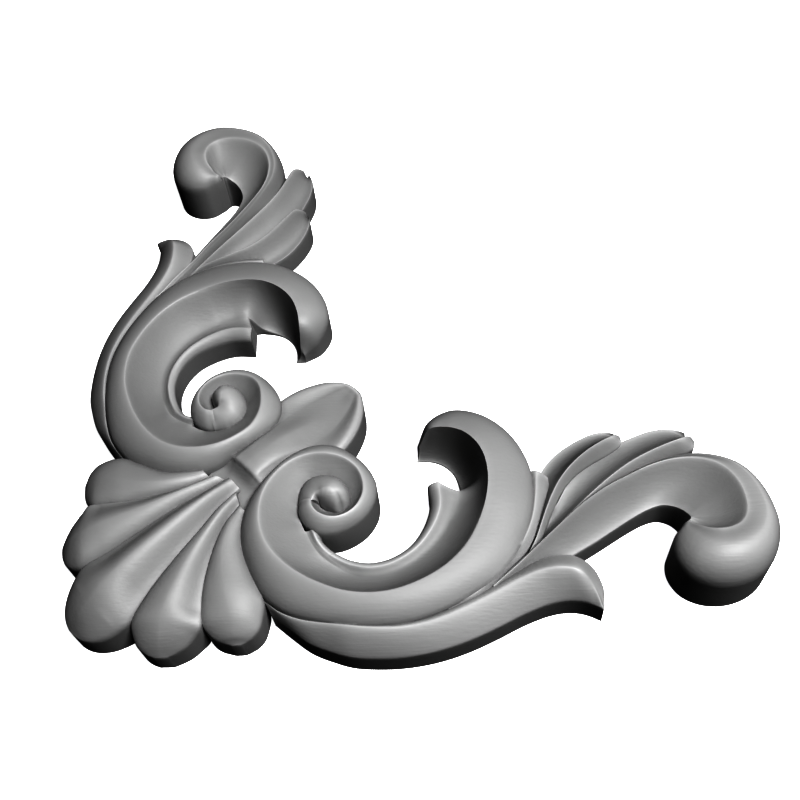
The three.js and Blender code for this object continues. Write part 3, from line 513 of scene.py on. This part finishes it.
def bow_run():
    """The bow of the scroll, which carries the beaded step as two more rails."""
    first, last = BOW_RANGE
    places = np.linspace(first, last, (last - first) * ALONG + 1)
    rails = [rail_curve(rail, places) for rail in rails_of(SCROLL)]
    rails += [rail_curve(rail, places - first) for rail in rails_of(STEP)]
    return sections_of(rails, [ROLL, COVE, BEAD_GROOVE, BEAD], places)


def middle_lobe_rows():
    """Stations of the middle lobe: left foot, crest on the mirror line, right foot."""
    return [(y, x, z, along, along, top, x, y, z) for along, top, x, y, z in MIDDLE_LOBE]


def centre_leaf_rows():
    """Stations of the centre leaf across the mirror line, from half widths and heights."""
    rows = []
    for along, crest, *sides in CENTRE_LEAF:
        side = [(sides[4], sides[5]), (sides[2], sides[3]), (sides[0], sides[1])]
        across = side + [(0.0, crest)] + [(-w, z) for w, z in reversed(side)]
        row = []
        for w, z in across:
            row += [(along - w) / math.sqrt(2), (along + w) / math.sqrt(2), z]
        rows.append(row)
    return rows


def run_object(name, sections):
    """A closed solid from cross-sections that start and end on the back plane."""
    count, width, _ = sections.shape
    points = sections.reshape(-1, 3)
    faces = []
    for i in range(count - 1):
        here, after = i * width, (i + 1) * width
        for j in range(width - 1):
            faces.append((here + j, here + j + 1, after + j + 1, after + j))
        faces.append((here + width - 1, here, after, after + width - 1))
    faces.append(tuple(range(width - 1, -1, -1)))
    faces.append(tuple((count - 1) * width + j for j in range(width)))
    mesh = bpy.data.meshes.new(name)
    mesh.from_pydata(points.tolist(), [], faces)
    shape = bmesh.new()
    shape.from_mesh(mesh)
    bmesh.ops.remove_doubles(shape, verts=shape.verts, dist=RUN_MERGE)
    bmesh.ops.triangulate(shape, faces=shape.faces)
    bmesh.ops.recalc_face_normals(shape, faces=shape.faces)
    if shape.calc_volume(signed=True) < 0:
        bmesh.ops.reverse_faces(shape, faces=shape.faces)
    shape.to_mesh(mesh)
    shape.free()
    piece = bpy.data.objects.new(name, mesh)
    bpy.context.scene.collection.objects.link(piece)
    return piece


def carve():
    """All runs of the carving, both arms, joined into one solid in metres."""
    blade = [RIM, BLADE_HOLLOW, BLADE_BACK, BLADE_BACK, BLADE_HOLLOW, RIM]
    arm = [
        carved_run(KNOB, [KNOB_SIDE, KNOB_SIDE]),
        carved_run(SCROLL, [ROLL, COVE], VOLUTE_RANGE, "last"),
        carved_run(SCROLL, [ROLL, COVE], WHORL_RANGE, "last"),
        bow_run(),
        carved_run(SCROLL, [ROLL, COVE], HOOK_RANGE, "first"),
        carved_run(OUTER_LEAF, [LEAF_BACK, LEAF_FACE]),
        carved_run(FROND, [CHEEK, CHEEK]),
        carved_run(SHORT_FINGER, [CHEEK, GOUGE]),
        carved_run(LONG_FINGER, [CHEEK, GOUGE]),
        carved_run(STEM, [BALL, CROWN, DISH]),
        carved_run(SIDE_LOBE, [LOBE_NEAR, LOBE_FAR]),
        carved_run(END_LOBE, [LOBE_NEAR, LOBE_NEAR]),
    ]
    runs = arm + [sections[:, :, [1, 0, 2]] for sections in arm]
    runs.append(carved_run(middle_lobe_rows(), [LOBE_FAR, LOBE_FAR]))
    runs.append(carved_run(centre_leaf_rows(), blade))
    solids = [run_object("run_%02d" % k, sections) for k, sections in enumerate(runs)]
    base = solids[0]
    group = bpy.data.collections.new("runs")
    for solid in solids[1:]:
        group.objects.link(solid)
    union = base.modifiers.new("union", "BOOLEAN")
    union.operation = "UNION"
    union.operand_type = "COLLECTION"
    union.collection = group
    union.solver = "MANIFOLD"
    depsgraph = bpy.context.evaluated_depsgraph_get()
    mesh = bpy.data.meshes.new_from_object(base.evaluated_get(depsgraph))
    mesh.name = "carving"
    for solid in solids:
        old = solid.data
        bpy.data.objects.remove(solid)
        bpy.data.meshes.remove(old)
    bpy.data.collections.remove(group)
    mesh.transform(Matrix.Scale(SCALE * MM * SANDED, 4))
    shape = bmesh.new()
    shape.from_mesh(mesh)
    bmesh.ops.remove_doubles(shape, verts=shape.verts, dist=JOIN_MERGE)
    bmesh.ops.dissolve_degenerate(shape, edges=shape.edges, dist=SHORTEST_EDGE)
    shape.to_mesh(mesh)
    shape.free()
    mark_ridges(mesh)
    mesh.shade_smooth()
    mesh.set_sharp_from_angle(angle=CRISP_ANGLE)
    carving = bpy.data.objects.new("carving", mesh)
    bpy.context.scene.collection.objects.link(carving)
    return carving


def node(tree, kind, settings=None, **links):
    """Adds a shader node with its settings; a link is a socket, anything else is a value."""
    made = tree.nodes.new(kind)
    for key, value in (settings or {}).items():
        setattr(made, key, value)
    for key, value in links.items():
        socket = made.inputs[key.replace("_", " ")]
        if isinstance(value, bpy.types.NodeSocket):
            tree.links.new(value, socket)
        else:
            socket.default_value = value
    return made


def mark_ridges(mesh):
    """Stores how convex the surface is at each vertex: 0.5 flat, 1 a sharp ridge, 0 a tight groove."""
    points = np.empty(len(mesh.vertices) * 3)
    mesh.vertices.foreach_get("co", points)
    points = points.reshape(-1, 3)
    normals = np.empty(len(mesh.vertices) * 3)
    mesh.vertex_normals.foreach_get("vector", normals)
    normals = normals.reshape(-1, 3)
    ends = np.empty(len(mesh.edges) * 2, dtype=np.int32)
    mesh.edges.foreach_get("vertices", ends)
    a, b = ends.reshape(-1, 2).T
    span = points[b] - points[a]
    bend = np.einsum("ij,ij->i", normals[b] - normals[a], span)
    bend /= np.maximum(np.einsum("ij,ij->i", span, span), 1e-10)
    count = np.bincount(a, minlength=len(points)) + np.bincount(b, minlength=len(points))
    bend = np.clip(bend, -RIDGE_BEND, RIDGE_BEND)
    convex = np.bincount(a, bend, len(points)) + np.bincount(b, bend, len(points))
    convex /= np.maximum(count, 1)
    for _ in range(RIDGE_SPREAD):
        near = np.bincount(a, convex[b], len(points)) + np.bincount(b, convex[a], len(points))
        convex = (convex + near / np.maximum(count, 1)) / 2
    ridge = mesh.attributes.new("ridge", "FLOAT", "POINT")
    ridge.data.foreach_set("value", np.clip(0.5 + convex / RIDGE_BEND, 0.0, 1.0))


def primed_wood():
    """Close-grained carved lime wood, sanded and sprayed with one coat of satin grey primer.

    The primer hides the wood's colour and leaves a soft sheen. Under it the fibres and the sanding
    still show as a faint raised grain, and the sprayed coat has a fine orange peel. The grooves are
    painted darker as painted shade and the ridges lighter as a painted highlight; the coat is also
    smoother on the ridges and duller in the grooves.
    """
    finish = bpy.data.materials.new("primed_lime_wood")
    finish.use_nodes = True
    tree = finish.node_tree
    skin = tree.nodes["Principled BSDF"]
    where = node(tree, "ShaderNodeTexCoord").outputs["Object"]

    # The grain runs along one arm. Real fibres are 0.1 mm wide, drawn here 0.7 mm wide so they show.
    fibres = tuple(1.0 / size for size in FIBRE_SIZE)
    along_grain = node(tree, "ShaderNodeMapping", Vector=where, Scale=fibres)
    grain = node(tree, "ShaderNodeTexNoise", Vector=along_grain.outputs["Vector"], Scale=1.0, Detail=3.0)
    peel = node(tree, "ShaderNodeTexNoise", Vector=where, Scale=1.0 / PEEL_SIZE, Detail=2.0)
    cloud = node(tree, "ShaderNodeTexNoise", Vector=where, Scale=1.0 / CLOUD_SIZE, Detail=3.0)
    ridge = node(tree, "ShaderNodeAttribute", {"attribute_name": "ridge"}).outputs["Fac"]

    # Colour: clouds of the sprayed coat, then painted shade in the grooves and a painted highlight on
    # the ridges.
    coat = node(tree, "ShaderNodeMix", {"data_type": "RGBA"})
    tree.links.new(cloud.outputs["Fac"], coat.inputs["Factor"])
    coat.inputs["A"].default_value = linear(COAT_DARK)
    coat.inputs["B"].default_value = linear(COAT_LIGHT)
    # Painted shade and painted highlight: darker in grooves, lighter on ridges, set by how convex the
    # surface is.
    painted_shading = node(tree, "ShaderNodeValToRGB", Fac=ridge)
    painted_shading.color_ramp.elements[0].position = 0.1
    painted_shading.color_ramp.elements[0].color = linear(GROOVE_PAINTED_SHADE)
    painted_shading.color_ramp.elements[1].position = 0.9
    painted_shading.color_ramp.elements[1].color = linear(RIDGE_PAINTED_HIGHLIGHT)
    flat = painted_shading.color_ramp.elements.new(0.5)
    flat.color = linear(FLAT_PAINTED_SHADE)
    colour = node(tree, "ShaderNodeMix", {"data_type": "RGBA", "blend_type": "MULTIPLY"})
    colour.inputs["Factor"].default_value = 1.0
    tree.links.new(coat.outputs["Result"], colour.inputs["A"])
    tree.links.new(painted_shading.outputs["Color"], colour.inputs["B"])
    tree.links.new(colour.outputs["Result"], skin.inputs["Base Color"])

    # Roughness: a satin coat, duller where it clouds and in the grooves.
    sheen = node(tree, "ShaderNodeMapRange", Value=ridge)
    sheen.inputs["To Min"].default_value = GROOVE_ROUGHNESS
    sheen.inputs["To Max"].default_value = RIDGE_ROUGHNESS
    mottle = node(tree, "ShaderNodeMapRange", Value=cloud.outputs["Fac"])
    mottle.inputs["To Min"].default_value = -CLOUD_ROUGHNESS
    mottle.inputs["To Max"].default_value = CLOUD_ROUGHNESS
    rough = node(tree, "ShaderNodeMath", {"operation": "ADD"})
    tree.links.new(sheen.outputs["Result"], rough.inputs[0])
    tree.links.new(mottle.outputs["Result"], rough.inputs[1])
    tree.links.new(rough.outputs["Value"], skin.inputs["Roughness"])

    # Relief: the raised grain, and the orange peel of the sprayed coat over it.
    fibre = node(tree, "ShaderNodeBump", Height=grain.outputs["Fac"], Distance=GRAIN_RELIEF)
    fibre.inputs["Strength"].default_value = RELIEF_STRENGTH
    spray = node(tree, "ShaderNodeBump", Height=peel.outputs["Fac"], Distance=PEEL_RELIEF)
    spray.inputs["Strength"].default_value = RELIEF_STRENGTH
    tree.links.new(fibre.outputs["Normal"], spray.inputs["Normal"])
    tree.links.new(spray.outputs["Normal"], skin.inputs["Normal"])
    return finish


def studio():
    """Pale floor and walls, one soft lamp and the camera at the photograph's viewing angle."""
    floor_mesh = bpy.data.meshes.new("floor")
    half = ROOM_HALF
    square = [(-half, -half), (half, -half), (half, half), (-half, half)]
    corners = [(x, y, z) for z in (FLOOR_LEVEL, ROOM_HEIGHT) for x, y in square]
    walls = [(0, 4, 5, 1), (1, 5, 6, 2), (2, 6, 7, 3), (3, 7, 4, 0)]
    floor_mesh.from_pydata(corners, [], [(0, 1, 2, 3)] + walls)
    floor = bpy.data.objects.new("floor", floor_mesh)
    bpy.context.scene.collection.objects.link(floor)
    paper = bpy.data.materials.new("paper")
    paper.use_nodes = True
    sheet = paper.node_tree.nodes["Principled BSDF"]
    sheet.inputs["Base Color"].default_value = linear(PAPER_WHITE)
    sheet.inputs["Roughness"].default_value = 0.9
    sheet.inputs["Emission Color"].default_value = (1.0, 1.0, 1.0, 1.0)
    sheet.inputs["Emission Strength"].default_value = PAPER_GLOW
    floor_mesh.materials.append(paper)
    floor.visible_diffuse = False
    floor.visible_glossy = False

    lamp = bpy.data.lights.new("key", "AREA")
    lamp.shape = "DISK"
    lamp.size = LAMP_SIZE
    lamp.energy = LAMP_POWER
    light = bpy.data.objects.new("key", lamp)
    light.location = LAMP_PLACE
    light.rotation_euler = (LAMP_AIM - LAMP_PLACE).to_track_quat("-Z", "Y").to_euler()
    bpy.context.scene.collection.objects.link(light)
    world = bpy.data.worlds.new("room")
    world.use_nodes = True
    fill = world.node_tree.nodes["Background"]
    fill.inputs["Color"].default_value = (1.0, 1.0, 1.0, 1.0)
    fill.inputs["Strength"].default_value = ROOM_FILL
    bpy.context.scene.world = world

    lens = bpy.data.cameras.new("camera")
    lens.sensor_width = SENSOR
    lens.lens = SENSOR * FOCAL_PIXELS / IMAGE_PIXELS
    lens.clip_start = 0.01
    eye = bpy.data.objects.new("camera", lens)
    turn = Matrix((CAMERA_RIGHT, -CAMERA_DOWN, -CAMERA_FORWARD)).transposed()
    eye.matrix_world = Matrix.Translation(CAMERA_PLACE * SCALE * MM) @ turn.to_4x4()
    bpy.context.scene.collection.objects.link(eye)
    bpy.context.scene.camera = eye
    bpy.context.scene.view_settings.view_transform = "Standard"
    bpy.context.scene.view_settings.gamma = TONE_GAMMA


carving = carve()
carving.data.materials.clear()
carving.data.materials.append(primed_wood())
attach(carving, "root")
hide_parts("applique")
studio()
